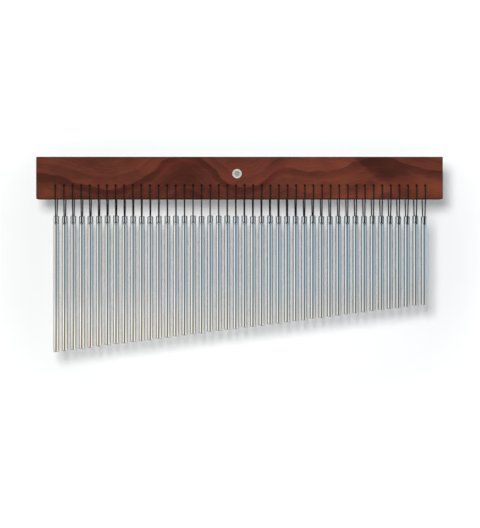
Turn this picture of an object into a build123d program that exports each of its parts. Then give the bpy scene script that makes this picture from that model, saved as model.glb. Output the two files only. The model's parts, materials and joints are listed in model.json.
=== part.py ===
from build123d import *

import os
from math import sin

# Bar chimes: a hardwood mantle with a row of solid bars hung below it, longest at the left, each bar on a
# cord loop of its own, and a metal grommet through the mantle that takes the rod of a stand.
# Millimetres. X runs along the row to the shortest bar, Y from the front to the back, Z up.
# The origin is on the axis of the stand bore, at the middle of the mantle's thickness.

# Bars: cut from round aluminium rod, each with a cross hole near its top
bar_count = 44
bar_diameter = 9.525
bar_gap = 4.175
longest_bar = 218.0
shortest_bar = 142.3
bar_end_round = 1.0
bar_hole_below_top = 11.8
bar_drop = 26.7

# Hand-tied loops differ a little: each bar hangs up to this much higher or lower than bar_drop says
tie_spread = 0.5
tie_phase = 2.4

# Mantle: its length follows the row of bars, and its height the places of the bore and the cord holes
mantle_thickness = 19.05
mantle_edge_round = 1.2
margin_left = 30.75
margin_right = 28.15
bore_below_top = 26.9
holes_below_bore = 18.7
holes_above_edge = 21.4
bore_left_of_middle = 4.0

# Cords: braided, each tied at the back of the mantle in a knot with two short tails
cord_diameter = 2.0
cord_gap = 0.3
hole_clearance = 1.2
hole_mouth = 0.6
knot_diameter = 4.8
tail_length = 3.0
tail_spread = 0.8
tail_lift = 0.35
tail_fall = 0.5
loops_per_node = 4

# Stand grommet: a flanged barrel from the front, and a washer that its rear end is set in
stand_bore = 8.2
barrel_wall = 1.0
barrel_fit = 0.1
flange_diameter = 15.0
flange_thickness = 1.2
flange_round = 0.5

# Places worked out from the sizes above
bar_radius = bar_diameter / 2
bar_pitch = bar_diameter + bar_gap
mantle_length = margin_left + (bar_count - 1) * bar_pitch + margin_right
mantle_height = bore_below_top + holes_below_bore + holes_above_edge
mantle_half = mantle_thickness / 2
mantle_left = bore_left_of_middle - mantle_length / 2
mantle_bottom = bore_below_top - mantle_height
cord_radius = cord_diameter / 2
knot_radius = knot_diameter / 2
hole_radius = (cord_diameter + hole_clearance) / 2
bore_radius = stand_bore / 2
barrel_radius = bore_radius + barrel_wall
seat_radius = barrel_radius + barrel_fit
flange_radius = flange_diameter / 2
grommet_end = mantle_half + flange_thickness

# A loaded cord lies off the hole's middle: low in the mantle's holes and high in the bars' holes
cord_off_middle = hole_radius - cord_radius - cord_gap
mouth_bend = hole_mouth + cord_gap + cord_radius
edge_bend = mantle_edge_round + cord_gap + cord_radius

# Round pieces that start at their own origin and stand on it, or hang from it
upward = (Align.CENTER, Align.CENTER, Align.MIN)
downward = (Align.CENTER, Align.CENTER, Align.MAX)


def bar_x(k):
    """Place of bar k along the row, counted from 0 at the longest bar."""
    return mantle_left + margin_left + k * bar_pitch


def bar_length(k):
    """Length of bar k: the bars shorten by the same step all along the row."""
    return longest_bar - (longest_bar - shortest_bar) * k / (bar_count - 1)


def bar_top(k):
    """Height of bar k's upper end, with the small differences of hand-tied loops."""
    return mantle_bottom - bar_drop - tie_spread * sin(tie_phase * k * k)


def cord_hole(half_depth):
    """Cutters for a cord hole along Y through this half depth: the drill, and a cone at each mouth."""
    drill = Rot(90, 0, 0) * Cylinder(hole_radius, 4 * half_depth)
    cone_height = 2 * hole_mouth
    cone = Cone(hole_radius, hole_radius + cone_height, cone_height, align=upward)
    mouths = [Pos(0, side * (half_depth - hole_mouth), 0) * Rot(-90 * side, 0, 0) * cone for side in (-1, 1)]
    return [drill, *mouths]


def make_mantle():
    """The board: softened edges, one hole for the grommet and a row of cord holes."""
    middle = Pos(bore_left_of_middle, 0, mantle_bottom + mantle_height / 2)
    board = middle * Box(mantle_length, mantle_thickness, mantle_height)
    board = fillet(board.edges(), mantle_edge_round)
    board -= Rot(90, 0, 0) * Cylinder(seat_radius, 2 * mantle_thickness)
    cutters = cord_hole(mantle_half)
    places = [Pos(bar_x(k), 0, -holes_below_bore) for k in range(bar_count)]
    return board - [place * cutter for place in places for cutter in cutters]


def make_bar(k):
    """One bar: a rod with rounded ends and a chamfered cross hole, made with its top at zero, then hung."""
    rod = Cylinder(bar_radius, bar_length(k), align=downward)
    rod = fillet(rod.edges().filter_by(GeomType.CIRCLE), bar_end_round)
    for cutter in cord_hole(bar_radius):
        rod -= Pos(0, 0, -bar_hole_below_top) * cutter
    return Pos(bar_x(k), 0, bar_top(k)) * rod


def make_loop(k):
    """One cord loop with its knot: through the mantle, down its front, through the bar and up the back."""
    hole_z = -holes_below_bore - cord_off_middle
    bar_hole_z = bar_top(k) - bar_hole_below_top + cord_off_middle
    edge_z = mantle_bottom + mantle_edge_round
    face_y = mantle_half + cord_gap + cord_radius
    bar_y = bar_radius + cord_gap + cord_radius
    knot = Vector(bar_x(k), mantle_half + cord_gap + knot_radius, hole_z)
    rear_edge = Vector(bar_x(k), face_y, edge_z)
    # The two ends of the cord stop apart from each other, inside the knot
    end_setback = cord_radius + cord_gap
    route = FilletPolyline(
        knot - Vector(0, end_setback, 0),
        (bar_x(k), -face_y, hole_z),
        (bar_x(k), -face_y, edge_z),
        (bar_x(k), -bar_y, bar_hole_z),
        (bar_x(k), bar_y, bar_hole_z),
        rear_edge,
        knot - (knot - rear_edge).normalized() * end_setback,
        radius=[mouth_bend, edge_bend, mouth_bend, mouth_bend, edge_bend],
    )
    section = Plane(origin=route @ 0, z_dir=route % 0) * Circle(cord_radius)
    loop = sweep(section, path=route) + Pos(*knot) * Sphere(knot_radius)
    for side in (-1, 1):
        way = Plane(origin=knot, z_dir=(side * tail_spread, tail_lift, -tail_fall))
        tail = Cylinder(cord_radius, knot_radius + tail_length, align=upward)
        loop += way * tail
    return loop, route.length


def make_grommet():
    """Flanged barrel that lines the mantle's hole: the stand's rod goes through it."""
    outline = Polyline(
        (bore_radius, -grommet_end),
        (flange_radius, -grommet_end),
        (flange_radius, -mantle_half),
        (barrel_radius, -mantle_half),
        (barrel_radius, grommet_end),
        (bore_radius, grommet_end),
        close=True,
    )
    grommet = revolve(make_face(outline), axis=Axis.Y)
    front_edges = grommet.edges().filter_by(GeomType.CIRCLE).group_by(Axis.Y)[0]
    return fillet(front_edges, flange_round)


def make_washer():
    """Flat ring round the barrel's rear end, against the back of the mantle."""
    ring = Circle(flange_radius) - Circle(seat_radius)
    return Pos(0, grommet_end, 0) * Rot(90, 0, 0) * extrude(ring, flange_thickness)


os.makedirs("parts", exist_ok=True)
export_step(make_mantle(), "parts/mantle.step")
export_step(make_grommet(), "parts/stand_grommet.step")
export_step(make_washer(), "parts/grommet_washer.step")

for k in range(bar_count):
    export_step(make_bar(k), f"parts/bar_{k + 1:02d}.step")

for first in range(0, bar_count, loops_per_node):
    last = min(first + loops_per_node, bar_count)
    made = [make_loop(k) for k in range(first, last)]
    export_step(Compound([loop for loop, _ in made]), f"parts/cord_loops_{first + 1:02d}_{last:02d}.step")
    shown = ", ".join(f"{length:.1f}" for _, length in made)
    print(f"cord loops {first + 1} to {last}: route lengths {shown} mm")
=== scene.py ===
import json

import bmesh
import bpy
import numpy as np
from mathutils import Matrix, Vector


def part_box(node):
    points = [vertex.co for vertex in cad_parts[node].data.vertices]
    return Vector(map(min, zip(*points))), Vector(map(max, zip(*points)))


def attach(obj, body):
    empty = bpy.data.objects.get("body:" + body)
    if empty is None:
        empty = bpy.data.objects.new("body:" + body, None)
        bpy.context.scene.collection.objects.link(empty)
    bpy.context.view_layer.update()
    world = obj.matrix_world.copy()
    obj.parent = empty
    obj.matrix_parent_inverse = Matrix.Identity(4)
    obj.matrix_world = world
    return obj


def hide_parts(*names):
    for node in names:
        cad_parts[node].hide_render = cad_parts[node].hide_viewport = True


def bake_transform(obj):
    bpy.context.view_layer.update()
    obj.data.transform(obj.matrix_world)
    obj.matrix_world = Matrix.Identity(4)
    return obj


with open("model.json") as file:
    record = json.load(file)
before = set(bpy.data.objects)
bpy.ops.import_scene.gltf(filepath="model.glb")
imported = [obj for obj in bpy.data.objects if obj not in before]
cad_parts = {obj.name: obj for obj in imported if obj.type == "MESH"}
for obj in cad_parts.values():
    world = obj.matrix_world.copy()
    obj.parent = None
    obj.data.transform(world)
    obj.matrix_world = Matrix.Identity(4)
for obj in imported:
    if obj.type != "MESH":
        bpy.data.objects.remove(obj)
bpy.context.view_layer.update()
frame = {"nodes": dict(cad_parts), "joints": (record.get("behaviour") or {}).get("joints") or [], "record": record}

# Mantle: one board of figured reddish walnut, sawn flat, planed and wiped with a satin oil.
# Its grain runs along the row of bars, climbs over a mound left of the middle and is broken by dark patches.
MM = 0.001


class Paint:
    """A shader socket that takes arithmetic: an expression of sockets and numbers adds its Math nodes."""

    def __init__(self, tree, socket=None):
        self.tree = tree
        self.socket = socket

    def node(self, kind, settings=None, inputs=None, output=0):
        """Adds a node of this type: its settings first, a ramp's stops among them, then its sockets."""
        made = self.tree.nodes.new(kind)
        for name, value in (settings or {}).items():
            if name == "stops":
                stops = made.color_ramp.elements
                for end in (0, -1):
                    stops[end].position = value[end][0]
                    stops[end].color = (*value[end][1], 1.0)
                for place, colour in value[1:-1]:
                    stops.new(place).color = (*colour, 1.0)
            else:
                setattr(made, name, value)
        for name, value in (inputs or {}).items():
            if isinstance(value, Paint):
                self.tree.links.new(value.socket, made.inputs[name])
            else:
                made.inputs[name].default_value = value
        return Paint(self.tree, made.outputs[output])

    def math(self, operation, other=0.0, third=0.0):
        return self.node("ShaderNodeMath", {"operation": operation}, {0: self, 1: other, 2: third})

    def __add__(self, other):
        return self.math("ADD", other)

    def __sub__(self, other):
        return self.math("SUBTRACT", other)

    def __rsub__(self, other):
        return self.math("MULTIPLY_ADD", -1.0, other)

    def __mul__(self, other):
        return self.math("MULTIPLY", other)

    def __truediv__(self, other):
        return self.math("DIVIDE", other)

    __radd__ = __add__
    __rmul__ = __mul__

    def between(self, low, high):
        """0 below low, 1 above high and a smooth step from one to the other."""
        return self.node("ShaderNodeMapRange", {"interpolation_type": "SMOOTHSTEP"},
                         {0: self, 1: low, 2: high})

    def bell(self, middle, width):
        """Bell curve, 1 at the middle: exp(-((value - middle) / width) squared)."""
        away = (self - middle) / width
        return (away * away * -1.0).math("EXPONENT")

    def stretched(self, *lengths):
        """The vector counted in these lengths along X, Y and Z."""
        shares = tuple(1 / length for length in lengths)
        return self.node("ShaderNodeVectorMath", {"operation": "MULTIPLY"}, {0: self, 1: shares})

    def noise(self, detail, roughness):
        """Cloudy noise, about 0.5 on average, with lumps of one unit of this vector."""
        return self.node("ShaderNodeTexNoise", {}, {"Vector": self, "Scale": 1.0, "Detail": detail,
                                                    "Roughness": roughness})

    def mixed(self, share, other):
        """This colour with a share of the other one."""
        return self.node("ShaderNodeMix", {"data_type": "RGBA"}, {0: share, 6: self, 7: other}, output=2)

    def darkened(self, share):
        """This colour with a share of black."""
        return self.mixed(share, (0.0, 0.0, 0.0, 1.0))


def new_finish(name):
    """A new material: the material, its principled shader's sockets, and a first socket to paint with."""
    material = bpy.data.materials.new(name)
    material.use_nodes = True
    tree = material.node_tree
    sockets = tree.nodes["Principled BSDF"].inputs
    place = Paint(tree).node("ShaderNodeTexCoord", output="Object")
    return material, sockets, place


def feed(value, socket):
    """Links a painted value to a shader's socket."""
    value.tree.links.new(value.socket, socket)


def part_along(vector, axis):
    """One component of a vector: axis 0, 1 or 2."""
    return vector.node("ShaderNodeSeparateXYZ", {}, {0: vector}, output=axis)


# The mound in the grain stands left of the middle, in millimetres along the board
MOUND_X = -83.0


def walnut():
    """Figured walnut in millimetres: bands that follow the height above a grain line with a mound in it.

    Warm corners, a dark patch, a slanting streak and a vein lie over the bands, and pores over all of it.
    """
    material, sockets, place = new_finish("oiled_walnut")
    spot = place.stretched(MM, MM, MM)
    x = part_along(spot, 0)
    y = part_along(spot, 1)
    z = part_along(spot, 2)
    mound = 34.0 * x.bell(MOUND_X, 44.0) + 12.0 * x.bell(76.0, 28.0) + 24.0 * x.bell(225.0, 60.0)
    bowl = 30.0 * x.bell(-205.0, 64.0) + 26.0 * x.bell(12.0, 46.0)
    drift = spot.stretched(110.0, 60.0, 50.0).noise(2.0, 0.5)
    wander = spot.stretched(34.0, 20.0, 15.0).noise(3.0, 0.5)
    height = z - mound + bowl + 20.0 * (drift - 0.5) + 14.0 * (wander - 0.5) + 0.35 * y
    bands = height.node("ShaderNodeTexNoise", {"noise_dimensions": "1D"},
                        {"W": height / 15.0, "Scale": 1.0, "Detail": 4.0, "Roughness": 0.6})
    clouds = spot.stretched(52.0, 30.0, 30.0).noise(3.0, 0.55)
    fibres = spot.stretched(24.0, 0.9, 0.9).noise(3.0, 0.6)
    pores = spot.stretched(7.0, 0.38, 0.38).noise(1.0, 0.5).between(0.64, 0.74)
    past_streak = x - 1.3 * (24.0 - z) - 185.0 + 30.0 * (wander - 0.5)
    streak = past_streak.between(-6.0, 8.0) * (1.0 - past_streak.between(10.0, 80.0))
    patch = x.bell(66.0, 20.0) * z.between(-14.0, 14.0)
    warm = x.between(40.0, 130.0) * (1.0 - z.between(-34.0, 6.0))
    warm = warm + (1.0 - x.between(-312.0, -262.0)) * (1.0 - z.between(-36.0, -14.0))
    lines = height.node("ShaderNodeTexNoise", {"noise_dimensions": "1D"},
                        {"W": height / 4.5, "Scale": 1.0, "Detail": 3.0, "Roughness": 0.6})
    vein = height.bell(-7.0, 5.0) * (0.2 + 1.2 * clouds.between(0.35, 0.65))
    vein = vein * (1.0 - 0.75 * x.between(20.0, 80.0))
    tone = 0.52 * bands + 0.40 * clouds + 0.24 * lines + 0.20 * fibres + 0.0012 * height - 0.17
    tone = tone - 0.09 * vein + 0.07 * x.bell(130.0, 60.0) + 0.08 * warm
    tone = tone - 0.17 * streak - 0.11 * patch - 0.07 * x.bell(MOUND_X, 36.0) - 0.03 * x.bell(-230.0, 90.0)
    wood = tone.node("ShaderNodeValToRGB", {"stops": [
        (0.26, (0.040, 0.0095, 0.0050)),
        (0.40, (0.064, 0.0145, 0.0080)),
        (0.52, (0.096, 0.0235, 0.0135)),
        (0.64, (0.135, 0.0330, 0.0175)),
        (0.80, (0.185, 0.0460, 0.0205)),
    ]}, {0: tone})
    rosy = spot.stretched(46.0, 30.0, 24.0).noise(2.0, 0.5).between(0.5, 0.72)
    wood = wood.mixed(0.40 * rosy, (0.112, 0.0185, 0.0135, 1.0))
    wood = wood.mixed(0.45 * warm * clouds.between(0.3, 0.7), (0.215, 0.0540, 0.0210, 1.0))
    # Painted shade: the faces darken in a rim along the top edge and the ends, and the bottom edge and bottom face
    # are painted dark as if in shadow.
    low, high = (np.array(corner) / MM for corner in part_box("mantle"))
    top_edge = z.between(high[2] - 2.4, high[2] - 0.4)
    ends = x.between(high[0] - 2.2, high[0] - 0.4) + (1.0 - x.between(low[0] + 0.4, low[0] + 2.2))
    bottom_edge = 1.0 - z.between(low[2] + 0.3, low[2] + 1.6)
    by_face = y.math("ABSOLUTE").between(high[1] - 2.0, high[1] - 0.3)
    wood = wood.darkened((0.54 * by_face * (top_edge + ends) + 0.6 * bottom_edge).math("MINIMUM", 0.6))
    feed(wood.darkened(0.45 * pores), sockets["Base Color"])
    feed(0.40 + 0.16 * fibres + 0.15 * pores + 0.45 * bottom_edge, sockets["Roughness"])
    relief = 0.5 * fibres - 0.8 * pores
    feed(relief.node("ShaderNodeBump", {}, {"Strength": 0.18, "Distance": 0.15 * MM, "Height": relief}),
         sockets["Normal"])
    sockets["Specular IOR Level"].default_value = 0.22
    return material


wood_finish = walnut()
for slot in frame["nodes"]["mantle"].material_slots:
    slot.material = wood_finish

mantle_low, mantle_high = (np.array(corner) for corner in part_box("mantle"))


# Stand grommet and its washer: turned from steel and nickel plated, the barrel pressed through the mantle
# from the front and set into the washer at the back. A stand's rod goes through its bore.
def new_piece(name, points, faces, material, slot):
    """A mesh piece with its place in its mesh, smooth shading and one material. The slot is not used."""
    mesh = bpy.data.meshes.new(name)
    mesh.from_pydata(points.tolist(), [], faces.tolist())
    mesh.polygons.foreach_set("use_smooth", np.ones(len(mesh.polygons), bool))
    mesh.materials.append(material)
    mesh.update()
    piece = bpy.data.objects.new(name, mesh)
    bpy.context.collection.objects.link(piece)
    return piece


def closed_grid(rows, columns, rows_closed):
    """Quads of a grid of points, row by row, whose columns go round and close, and its rows too if so."""
    row, column = np.meshgrid(np.arange(rows if rows_closed else rows - 1), np.arange(columns), indexing="ij")
    here = row * columns + column
    beside = row * columns + (column + 1) % columns
    below = (row + 1) % rows * columns
    return np.stack([here, beside, below + (column + 1) % columns, below + column], axis=-1).reshape(-1, 4)


def turned_about_y(profile, around):
    """Points (r cos a, y, r sin a) of a closed profile of (r, y) turned about the Y axis."""
    angle = np.linspace(0, 2 * np.pi, around, endpoint=False)
    radius, y = np.array(profile).T[:, :, None]
    return np.stack([radius * np.cos(angle), y + 0 * angle, radius * np.sin(angle)], axis=-1).reshape(-1, 3)


def rounded(corner_r, corner_y, radius, start, steps=6):
    """Quarter-round of a profile: (r, y) on an arc about a centre, from a start angle in quarters."""
    angle = (start + np.linspace(0, 1, steps)) * np.pi / 2
    return [(corner_r + radius * np.cos(a), corner_y + radius * np.sin(a)) for a in angle]


def nickel():
    """Nickel plate: fine turning marks about the Y axis, and dull smudges of handling."""
    material, sockets, place = new_finish("nickel_plate")
    spot = place.stretched(MM, MM, MM)
    x = part_along(spot, 0)
    z = part_along(spot, 2)
    radius = (x * x + z * z).math("SQRT")
    marks = radius.node("ShaderNodeTexNoise", {"noise_dimensions": "1D"}, {"W": radius * 9.0, "Detail": 2.0})
    smudge = spot.stretched(3.0, 3.0, 3.0).noise(3.0, 0.6)
    plate = smudge.node("ShaderNodeValToRGB", {"stops": [
        (0.35, (0.56, 0.54, 0.50)),
        (0.65, (0.66, 0.64, 0.60)),
    ]}, {0: smudge})
    feed(plate, sockets["Base Color"])
    feed(0.30 + 0.16 * marks + 0.12 * smudge, sockets["Roughness"])
    feed(marks.node("ShaderNodeBump", {}, {"Strength": 0.12, "Distance": 0.05 * MM, "Height": marks}),
         sockets["Normal"])
    sockets["Metallic"].default_value = 0.3
    return material


grommet_low, grommet_high = (np.array(corner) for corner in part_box("stand_grommet"))
washer_low, washer_high = (np.array(corner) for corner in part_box("grommet_washer"))
bore_mount = next(mount for mount in frame["record"]["mounts"] if mount["name"] == "stand_bore")
bore_radius = bore_mount["dims"]["r_mm"] * MM
flange_radius = grommet_high[0]
barrel_wall = 1.0 * MM
barrel_fit = 0.1 * MM
flange_round = 0.5 * MM
rear_round = 0.25 * MM
plate_finish = nickel()

front_y, rear_y = grommet_low[1], grommet_high[1]
barrel_radius = bore_radius + barrel_wall
grommet_profile = [
    *rounded(bore_radius + flange_round, front_y + flange_round, flange_round, 2),
    *rounded(flange_radius - flange_round, front_y + flange_round, flange_round, 3),
    (flange_radius, mantle_low[1]),
    (barrel_radius, mantle_low[1]),
    *rounded(barrel_radius - rear_round, rear_y - rear_round, rear_round, 0),
    *rounded(bore_radius + rear_round, rear_y - rear_round, rear_round, 1),
]
AROUND_GROMMET = 72
grommet = new_piece("stand_grommet_turned", turned_about_y(grommet_profile, AROUND_GROMMET),
                    closed_grid(len(grommet_profile), AROUND_GROMMET, True), plate_finish, "grommet_metal")
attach(grommet, "mantle")
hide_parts("stand_grommet")

washer_hole = barrel_radius + barrel_fit
washer_profile = [
    (washer_hole, washer_low[1]),
    (flange_radius, washer_low[1]),
    *rounded(flange_radius - rear_round, washer_high[1] - rear_round, rear_round, 0),
    *rounded(washer_hole + rear_round, washer_high[1] - rear_round, rear_round, 1),
]
washer = new_piece("grommet_washer_turned", turned_about_y(washer_profile, AROUND_GROMMET),
                   closed_grid(len(washer_profile), AROUND_GROMMET, True), plate_finish, "grommet_metal")
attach(washer, "mantle")
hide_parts("grommet_washer")


# Bars: solid drawn aluminium rod, polished along its length, ends rounded over, with a cross hole near the
# top that is countersunk on both sides so that it doesn't cut the cord.
# The lower ends rise evenly along the row: their height in line with the bore in millimetres, and the slope
ENDS_AT_BORE = -247.6
END_SLOPE = 0.1285


def polished_rod():
    """Polished aluminium: faint drawing lines, a soft bloom of handling and a bluer tint on some bars.

    The long bars are a little warmer, the short ones duller, and the lower ends darker and warmer.
    """
    material, sockets, place = new_finish("polished_rod")
    spot = place.stretched(MM, MM, MM)
    x = part_along(spot, 0)
    above_end = part_along(spot, 2) - END_SLOPE * x - ENDS_AT_BORE
    lines = spot.stretched(0.55, 0.55, 60.0).noise(3.0, 0.6)
    bloom = spot.stretched(9.0, 9.0, 34.0).noise(3.0, 0.6)
    metal = bloom.node("ShaderNodeValToRGB", {"stops": [
        (0.3, (0.59, 0.60, 0.605)),
        (0.7, (0.665, 0.665, 0.66)),
    ]}, {0: bloom})
    batch = spot.stretched(11.0, 400.0, 300.0).noise(1.0, 0.5).between(0.42, 0.66)
    metal = metal.mixed(0.6 * batch, (0.53, 0.61, 0.665, 1.0))
    metal = metal.mixed(0.5 - 0.5 * x.between(-330.0, 100.0), (0.645, 0.614, 0.565, 1.0))
    metal = metal.mixed(0.5 * x.between(-20.0, 260.0), (0.500, 0.526, 0.540, 1.0))
    metal = metal.mixed(0.5 - 0.5 * above_end.between(0.0, 70.0), (0.500, 0.480, 0.430, 1.0))
    feed(metal, sockets["Base Color"])
    feed(0.03 + 0.05 * lines + 0.05 * bloom, sockets["Roughness"])
    feed(lines.node("ShaderNodeBump", {}, {"Strength": 0.03, "Distance": 0.05 * MM, "Height": lines}),
         sockets["Normal"])
    sockets["Metallic"].default_value = 1.0
    sockets["Specular Tint"].default_value = (0.45, 0.45, 0.45, 1.0)
    return material


HOLE_RADIUS = 1.6 * MM
HOLE_MOUTH = 0.6 * MM
HOLE_BELOW_TOP = 11.8 * MM
END_ROUND = 1.0 * MM
SUPPORT_RING = 0.4 * MM
AROUND_BAR = 48
WINDOW = AROUND_BAR // 4
WINDOW_HALF = 3.6 * MM
PATCH_RINGS = 5
POLE_SHARE = 0.999999
WELD_REACH = 0.002 * MM


def bar_surface(middle, top, bottom, radius):
    """A rod with a cross hole along Y, in four patches that share their border points.

    The wall is (radius cos a, radius sin a, z) with a square window left out at the front and the back. In
    each window, rings run from the window's border to the rim where the countersink's cone meets the rod. The
    lining joins the two rims through the hole. Each end rolls over a quarter round to a ring so small that it
    welds to a point, and a support ring beside it keeps the shading of the long wall straight.
    """
    hole_z = top - HOLE_BELOW_TOP
    quarter = np.linspace(0, np.pi / 2, 6)
    shrink = np.concatenate([[radius * POLE_SHARE], END_ROUND - END_ROUND * np.sin(quarter)])
    cap_z = np.concatenate([[0.0], END_ROUND * (1 - np.cos(quarter))])
    window_z = np.linspace(hole_z + WINDOW_HALF, hole_z - WINDOW_HALF, WINDOW + 1)
    support = END_ROUND + SUPPORT_RING
    row_z = np.concatenate([top - cap_z, [top - support], window_z, [bottom + support], bottom + cap_z[::-1]])
    row_r = radius - np.concatenate([shrink, [0.0], 0 * window_z, [0.0], shrink[::-1]])
    angle = np.arange(AROUND_BAR) * 2 * np.pi / AROUND_BAR - np.pi / 4
    wall = np.stack([row_r[:, None] * np.cos(angle), row_r[:, None] * np.sin(angle),
                     row_z[:, None] + 0 * angle], axis=-1)
    wall_quads = closed_grid(len(row_z), AROUND_BAR, False)[:, ::-1]
    row, column = np.divmod(np.arange(len(wall_quads)), AROUND_BAR)
    first = len(cap_z) + 1
    side = column // WINDOW
    in_window = (row >= first) & (row < first + WINDOW) & ((side == 1) | (side == 3))
    points = [wall.reshape(-1, 3)]
    faces = [wall_quads[~in_window]]
    used = points[0].shape[0]

    # Round the window's border, counted from its first corner, as steps of arc and of height from the hole
    ramp = np.linspace(-1, 1, WINDOW, endpoint=False)
    border = np.stack([np.concatenate([ramp, 0 * ramp + 1, -ramp, 0 * ramp - 1]),
                       np.concatenate([0 * ramp - 1, ramp, 0 * ramp + 1, -ramp])], axis=-1)
    turn = np.arctan2(border[:, 1], border[:, 0])
    crest = HOLE_RADIUS + HOLE_MOUTH
    rim = np.full(AROUND_BAR, crest)
    for _ in range(8):
        rim = crest - (radius - np.sqrt(radius ** 2 - (rim * np.cos(turn)) ** 2))
    rim_arc = np.arcsin(rim * np.cos(turn) / radius)
    rim_z = rim * np.sin(turn)
    share = np.linspace(0, 1, PATCH_RINGS)[:, None] ** 0.8
    arc = (1 - share) * border[:, 0] * np.pi / 4 + share * rim_arc
    height = (1 - share) * border[:, 1] * WINDOW_HALF + share * rim_z
    ring_quads = closed_grid(PATCH_RINGS, AROUND_BAR, False)
    lining = []
    for facing in (-1, 1):
        patch = np.stack([radius * np.sin(arc), facing * radius * np.cos(arc), hole_z + height], axis=-1)
        points.append(patch.reshape(-1, 3))
        faces.append(ring_quads[:, ::-facing] + used)
        used += patch.size // 3
        throat = np.stack([HOLE_RADIUS * np.cos(turn), 0 * turn + facing * (radius - HOLE_MOUTH),
                           hole_z + HOLE_RADIUS * np.sin(turn)], axis=-1)
        lining += [patch[-1], throat] if facing < 0 else [throat, patch[-1]]
    points.append(np.concatenate(lining))
    faces.append(closed_grid(len(lining), AROUND_BAR, False) + used)
    return np.concatenate(points) + [middle, 0.0, 0.0], np.concatenate(faces)


def weld(piece):
    """Merges points that meet, so that patches and poles close, and points the faces outwards."""
    work = bmesh.new()
    work.from_mesh(piece.data)
    bmesh.ops.remove_doubles(work, verts=work.verts, dist=WELD_REACH)
    bmesh.ops.recalc_face_normals(work, faces=work.faces)
    work.to_mesh(piece.data)
    work.free()


def bar_sizes(bar_name):
    """Middle along X, top, bottom and radius of a bar, from its box."""
    low, high = (np.array(corner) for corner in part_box(bar_name))
    return (low[0] + high[0]) / 2, high[2], low[2], (high[0] - low[0]) / 2


rod_finish = polished_rod()
bar_names = [joint["child"] for joint in frame["joints"]]
for bar_name in bar_names:
    bar = new_piece(bar_name + "_polished", *bar_surface(*bar_sizes(bar_name)), rod_finish, "bar_metal")
    weld(bar)
    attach(bar, bar_name)
    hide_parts(bar_name)


# Cord loops: black braided nylon, one to a bar. Each goes through the mantle, down its front, through the bar
# and up the back, where its two ends are tied in a knot and cut short, with the tails sealed by a flame.
CORD_RADIUS = 1.0 * MM
CORD_GAP = 0.3 * MM
HOLES_BELOW_BORE = 18.7 * MM
EDGE_ROUND = 1.2 * MM
BEND_REACH = 3.8 * MM
KNOT_RADIUS = 2.4 * MM
KNOT_RING = 1.55 * MM
KNOT_SWAY = 0.85 * MM
KNOT_POINTS = 54
KNOT_TURN = 2.4
TAIL_BEND = np.array([2.6, 1.3, -1.4]) * MM
TAIL_END = np.array([4.0, 1.6, -3.1]) * MM
BRAID_LENGTH = 1.5 * MM
BRAID_STRANDS = 4
AROUND_CORD = 14
RING_SPACING = 0.7 * MM
X_WAY = np.array([1.0, 0.0, 0.0])
Y_WAY = np.array([0.0, 1.0, 0.0])


def braid():
    """Black braid on UV, counted in strands: U + V and U - V number the strands of each hand."""
    material, sockets, place = new_finish("black_braid")
    sheet = place.node("ShaderNodeTexCoord", output="UV")
    along = part_along(sheet, 0)
    around = part_along(sheet, 1)
    left = ((along + around) * np.pi).math("SINE")
    right = ((along - around) * np.pi).math("SINE")
    over = (left * right).between(-0.12, 0.12)
    height = over * right.math("ABSOLUTE") + (1.0 - over) * left.math("ABSOLUTE")
    dust = place.stretched(4 * MM, 4 * MM, 9 * MM).noise(2.0, 0.5)
    # Painted shade: the base colour is darker down in the crevices between strands and lighter on their crowns.
    black = height.node("ShaderNodeValToRGB", {"stops": [
        (0.1, (0.0025, 0.0025, 0.0028)),
        (0.9, (0.0100, 0.0100, 0.0108)),
    ]}, {0: height + 0.5 * (dust - 0.5)})
    feed(black, sockets["Base Color"])
    feed(0.72 - 0.14 * height, sockets["Roughness"])
    feed(height.node("ShaderNodeBump", {}, {"Strength": 0.6, "Distance": 0.12 * MM, "Height": height}),
         sockets["Normal"])
    sockets["Specular IOR Level"].default_value = 0.25
    return material


def smooth_line(points, spacing):
    """Points about evenly spaced along the quadratic NURBS spline of these control points."""
    curve = bpy.data.curves.new("line", "CURVE")
    curve.dimensions = "3D"
    spline = curve.splines.new("NURBS")
    spline.points.add(len(points) - 1)
    spline.points.foreach_set("co", np.column_stack([points, np.ones(len(points))]).ravel())
    spline.order_u = 3
    spline.use_endpoint_u = True
    spline.resolution_u = 16
    holder = bpy.data.objects.new("line", curve)
    mesh = bpy.data.meshes.new_from_object(holder)
    line = np.empty(3 * len(mesh.vertices))
    mesh.vertices.foreach_get("co", line)
    line = line.reshape(-1, 3)
    bpy.data.objects.remove(holder)
    bpy.data.meshes.remove(mesh)
    bpy.data.curves.remove(curve)
    along = np.concatenate([[0.0], np.cumsum(np.linalg.norm(np.diff(line, axis=0), axis=1))])
    ends = CORD_RADIUS * (1 - np.cos(np.linspace(0, np.pi / 2, 5)))
    count = int((along[-1] - 2 * CORD_RADIUS) / spacing)
    run = np.linspace(CORD_RADIUS, along[-1] - CORD_RADIUS, count)[1:-1]
    stops = np.concatenate([ends, run, along[-1] - ends[::-1]])
    return np.column_stack([np.interp(stops, along, line[:, axis]) for axis in range(3)])


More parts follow.
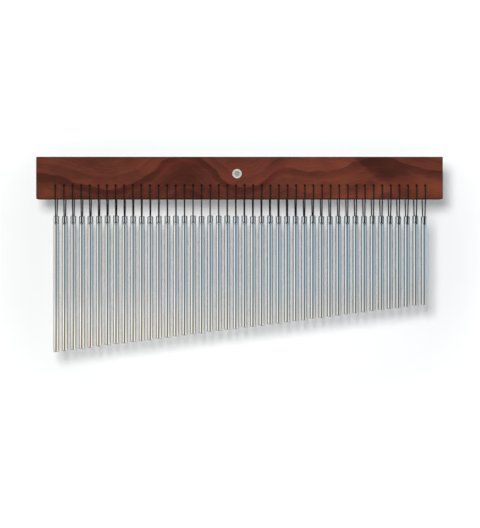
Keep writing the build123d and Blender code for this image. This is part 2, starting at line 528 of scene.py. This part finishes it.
def cord_tube(line, side, closed=False):
    """Round cord along a line: P + r (cos a N + sin a B), with N square to the line and to a side way.

    Open ends are rounded over. The UV of a corner counts braid lengths along the cord and strands around it.
    """
    after = np.roll(line, -1, axis=0)
    ahead = after - np.roll(line, 1, axis=0) if closed else np.gradient(line, axis=0)
    ahead /= np.linalg.norm(ahead, axis=1)[:, None]
    across = np.cross(ahead, side)
    across /= np.linalg.norm(across, axis=1)[:, None]
    third = np.cross(ahead, across)
    along = np.concatenate([[0.0], np.cumsum(np.linalg.norm(after - line, axis=1))])
    size = np.full(len(line), CORD_RADIUS)
    if not closed:
        from_end = np.minimum(along[:-1], along[-2] - along[:-1]).clip(0, CORD_RADIUS)
        size = np.sqrt(CORD_RADIUS ** 2 - (CORD_RADIUS - from_end) ** 2)
    angle = np.linspace(0, 2 * np.pi, AROUND_CORD, endpoint=False)[None, :, None]
    ring = np.cos(angle) * across[:, None] + np.sin(angle) * third[:, None]
    points = line[:, None] + size[:, None, None] * ring
    faces = closed_grid(len(line), AROUND_CORD, closed)
    row, column = np.divmod(np.arange(len(faces)), AROUND_CORD)
    braids = along / BRAID_LENGTH
    strands = BRAID_STRANDS / AROUND_CORD
    uv = np.stack([np.stack([braids[row + down], (column + over) * strands], axis=-1)
                   for down, over in ((0, 0), (0, 1), (1, 1), (1, 0))], axis=1)
    return points.reshape(-1, 3), faces, uv


def knot_line(middle, turned):
    """Trefoil knot pulled tight: ((R + r cos 3t) cos 2t, r sin 3t, (R + r cos 3t) sin 2t), turned about Y."""
    t = np.linspace(0, 2 * np.pi, KNOT_POINTS, endpoint=False)
    reach = KNOT_RING + KNOT_SWAY * np.cos(3 * t)
    return middle + np.stack([reach * np.cos(2 * t + turned), KNOT_SWAY * np.sin(3 * t),
                              reach * np.sin(2 * t + turned)], axis=-1)


def loop_route(x, bar_top, bar_radius):
    """Control points of one loop, worked out as (y, z): one at each bend and one on each side of it."""
    hole_z = -HOLES_BELOW_BORE - CORD_GAP
    bar_z = bar_top - HOLE_BELOW_TOP + CORD_GAP
    edge_z = mantle_low[2] + EDGE_ROUND
    face_y = mantle_high[1] + CORD_GAP + CORD_RADIUS
    bar_y = bar_radius + CORD_GAP + CORD_RADIUS
    knot = np.array([mantle_high[1] + CORD_GAP + KNOT_RADIUS, hole_z])
    bends = np.array([[-face_y, hole_z], [-face_y, edge_z], [-bar_y, bar_z], [bar_y, bar_z],
                      [face_y, edge_z]])
    before = np.vstack([knot, bends[:-1]]) - bends
    after = np.vstack([bends[1:], knot]) - bends
    rows = [knot]
    for bend, back, on in zip(bends, before, after):
        rows += [bend + BEND_REACH * back / np.hypot(*back), bend, bend + BEND_REACH * on / np.hypot(*on)]
    rows.append(knot)
    return np.array([[x, y, z] for y, z in rows])


def loops_in(node_name):
    """Numbers of the loops in a node, from the first and last number in its name."""
    first, last = node_name.split("_")[-2:]
    return range(int(first), int(last) + 1)


cord_finish = braid()
cord_nodes = [name for name in frame["nodes"] if name.startswith("cord_loops_")]
for number, bar_name in enumerate(bar_names):
    bar_middle, bar_top, _, bar_radius = bar_sizes(bar_name)
    route = loop_route(bar_middle, bar_top, bar_radius)
    knot_middle = route[0]
    tubes = [cord_tube(smooth_line(route, RING_SPACING), X_WAY),
             cord_tube(knot_line(knot_middle, KNOT_TURN * number), Y_WAY, closed=True)]
    for side in (-1, 1):
        tail = knot_middle + np.array([0 * TAIL_END, TAIL_BEND, TAIL_END]) * [side, 1, 1]
        tubes.append(cord_tube(smooth_line(tail, RING_SPACING), Y_WAY))
    starts = np.cumsum([0] + [len(points) for points, _, _ in tubes])
    loop = new_piece(bar_name.replace("bar", "loop"), np.concatenate([points for points, _, _ in tubes]),
                     np.concatenate([faces + start for (_, faces, _), start in zip(tubes, starts)]),
                     cord_finish, "cord")
    layer = loop.data.uv_layers.new(name="braid")
    layer.data.foreach_set("uv", np.concatenate([uv for _, _, uv in tubes]).ravel())
    weld(loop)
    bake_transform(loop)
    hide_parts(next(name for name in cord_nodes if number + 1 in loops_in(name)))


# Studio: a white wall well behind the bars and a pale floor far below them. One soft lamp beside the camera,
# up and to its left, throws the shadow to the lower right, and one behind the wall lights the back.
WALL_Y = 0.22
WALL_TOP = 1.3
FLOOR_Z = -1.0
HALF_WIDTH = 2.2
HALF_DEPTH = 3.0


def plain_white(name, shade, glow, middle, reach):
    """Matt white, clear from behind, that glows for the eye and for mirrors away from the object's shadow.

    The glow grows with the root of the sum of the fourth powers of the distances, counted in reach.
    """
    material, sockets, place = new_finish(name)
    sockets["Base Color"].default_value = (shade, shade, shade, 1.0)
    sockets["Roughness"].default_value = 0.9
    sockets["Specular IOR Level"].default_value = 0.0
    sockets["Emission Strength"].default_value = glow
    seen = place.node("ShaderNodeLightPath", output="Is Camera Ray")
    mirrored = place.node("ShaderNodeLightPath", output="Is Glossy Ray")
    through = place.node("ShaderNodeLightPath", output="Is Transmission Ray")
    spread = place.node("ShaderNodeVectorMath", {"operation": "SUBTRACT"}, {0: place, 1: middle})
    spread = spread.stretched(*reach)
    squares = spread.node("ShaderNodeVectorMath", {"operation": "MULTIPLY"}, {0: spread, 1: spread})
    far = squares.node("ShaderNodeVectorMath", {"operation": "LENGTH"}, {0: squares}, output="Value")
    glowing = far.between(0.85, 2.25) * (seen + mirrored + through).math("MINIMUM", 1.0)
    feed(glowing, sockets["Emission Color"])
    tree = place.tree
    clear = place.node("ShaderNodeBsdfTransparent")
    behind = place.node("ShaderNodeNewGeometry", output="Backfacing")
    white = Paint(tree, tree.nodes["Principled BSDF"].outputs[0])
    both = place.node("ShaderNodeMixShader", {}, {0: behind, 1: white, 2: clear})
    feed(both, tree.nodes["Material Output"].inputs["Surface"])
    return material


def stage_sheet(name, corners, material):
    """A flat rectangle of the studio from its four corners."""
    mesh = bpy.data.meshes.new(name)
    mesh.from_pydata(corners, [], [(0, 1, 2, 3)])
    mesh.materials.append(material)
    sheet = bpy.data.objects.new(name, mesh)
    bpy.context.collection.objects.link(sheet)
    return sheet


wall_white = plain_white("white_wall", 0.98, 0.32, (0.012, WALL_Y, -0.15), (0.388, 1.0, 0.23))
wall = stage_sheet("studio_wall", [(-HALF_WIDTH, WALL_Y, FLOOR_Z), (HALF_WIDTH, WALL_Y, FLOOR_Z),
                                   (HALF_WIDTH, WALL_Y, WALL_TOP), (-HALF_WIDTH, WALL_Y, WALL_TOP)],
                   wall_white)
wall.visible_shadow = False
floor_white = plain_white("pale_floor", 0.72, 0.28, (0.0, 0.0, FLOOR_Z), (0.8, 0.8, 1.0))
stage_sheet("studio_floor", [(-HALF_WIDTH, -HALF_DEPTH, FLOOR_Z), (HALF_WIDTH, -HALF_DEPTH, FLOOR_Z),
                             (HALF_WIDTH, HALF_DEPTH, FLOOR_Z), (-HALF_WIDTH, HALF_DEPTH, FLOOR_Z)],
            floor_white)


def studio_sky():
    """Light by direction: a white softbox at the front left and a pale blue one at the right.

    Both are warmer and brighter below the horizon. The room is dim, darker behind, and pale straight above.
    """
    world = bpy.data.worlds.new("studio")
    world.use_nodes = True
    bpy.context.scene.world = world
    tree = world.node_tree
    way = Paint(tree).node("ShaderNodeTexCoord", output="Generated")
    east = part_along(way, 0)
    north = part_along(way, 1)
    up = part_along(way, 2)

    def softbox(bearing, edge, core):
        """1 in directions near a bearing, in degrees to the right of the camera, fading from core to edge."""
        turn = np.radians(bearing)
        facing = east * float(np.sin(turn)) - north * float(np.cos(turn))
        return facing.between(float(np.cos(np.radians(edge))), float(np.cos(np.radians(core))))

    rise = 0.5 + 0.5 * up
    room = rise.node("ShaderNodeValToRGB", {"stops": [
        (0.20, (0.06, 0.059, 0.058)),
        (0.40, (0.30, 0.29, 0.27)),
        (0.455, (0.25, 0.238, 0.215)),
        (0.475, (0.25, 0.27, 0.28)),
        (0.49, (0.23, 0.265, 0.285)),
        (0.60, (0.165, 0.195, 0.21)),
        (0.70, (0.05, 0.052, 0.054)),
        (0.90, (0.06, 0.062, 0.064)),
        (1.0, (0.52, 0.525, 0.53)),
    ]}, {0: rise})
    room = room.mixed(0.9 * north.between(-0.05, 0.25), (0.05, 0.052, 0.055, 1.0))
    right_light = rise.node("ShaderNodeValToRGB", {"stops": [
        (0.405, (0.50, 0.48, 0.45)),
        (0.455, (2.05, 1.94, 1.78)),
        (0.4655, (1.48, 1.43, 1.34)),
        (0.476, (1.06, 1.13, 1.14)),
        (0.486, (0.74, 0.92, 1.03)),
    ]}, {0: rise})
    left_light = rise.node("ShaderNodeValToRGB", {"stops": [
        (0.405, (0.60, 0.58, 0.55)),
        (0.455, (1.80, 1.74, 1.62)),
        (0.468, (1.80, 1.77, 1.70)),
        (0.476, (1.51, 1.51, 1.48)),
        (0.482, (1.32, 1.32, 1.29)),
    ]}, {0: rise})
    level = up.bell(0.0, 0.5)
    sky = room.mixed(level * softbox(71.0, 58.0, 22.0), right_light)
    sky = sky.mixed(level * softbox(-54.0, 32.0, 19.0), left_light)
    feed(sky, tree.nodes["Background"].inputs["Color"])


studio_sky()


def soft_lamp(name, place, aim, size, power):
    """A round soft lamp turned to its aim, which no mirror shows."""
    light = bpy.data.lights.new(name, "AREA")
    light.shape = "DISK"
    light.size = size
    light.energy = power
    lamp = bpy.data.objects.new(name, light)
    bpy.context.collection.objects.link(lamp)
    lamp.location = place
    toward = np.array(aim) - np.array(place)
    lamp.rotation_euler = (np.arctan2(np.hypot(toward[0], toward[1]), -toward[2]), 0.0,
                           np.arctan2(-toward[0], toward[1]))
    lamp.visible_camera = False
    lamp.visible_glossy = False


# Camera: square to the mantle's front and a little left of its middle, about level with the middle of the
# shortest bars. The front lamp stands beside it.
FRAME_HEIGHT = 528
FRAME_WIDTH = 480
CENTRE_PIXEL = 201.0
FOCAL_PIXELS = 882.0
SENSOR = 36.0
CAMERA_PLACE = np.array([-0.0573, -1.414, -0.1439])
camera_data = bpy.data.cameras.new("camera")
camera_data.sensor_width = SENSOR
camera_data.lens = FOCAL_PIXELS / FRAME_HEIGHT * SENSOR
camera_data.shift_x = (FRAME_WIDTH / 2 - CENTRE_PIXEL) / FRAME_HEIGHT
camera = bpy.data.objects.new("camera", camera_data)
camera.location = CAMERA_PLACE
camera.rotation_euler = (np.pi / 2, 0.0, 0.0)
bpy.context.collection.objects.link(camera)
bpy.context.scene.camera = camera
bpy.context.scene.view_settings.view_transform = "Standard"

ROW_MIDDLE = (0.0, 0.0, -0.13)
ROW_RIGHT_END = (0.34, 0.0, -0.13)
BESIDE_CAMERA = np.array([-0.074, 0.0, 0.122])
soft_lamp("front_lamp", CAMERA_PLACE + BESIDE_CAMERA, ROW_RIGHT_END, 0.17, 17.5)
soft_lamp("rear_lamp", (0.4, 1.6, 0.7), ROW_MIDDLE, 0.8, 16.0)
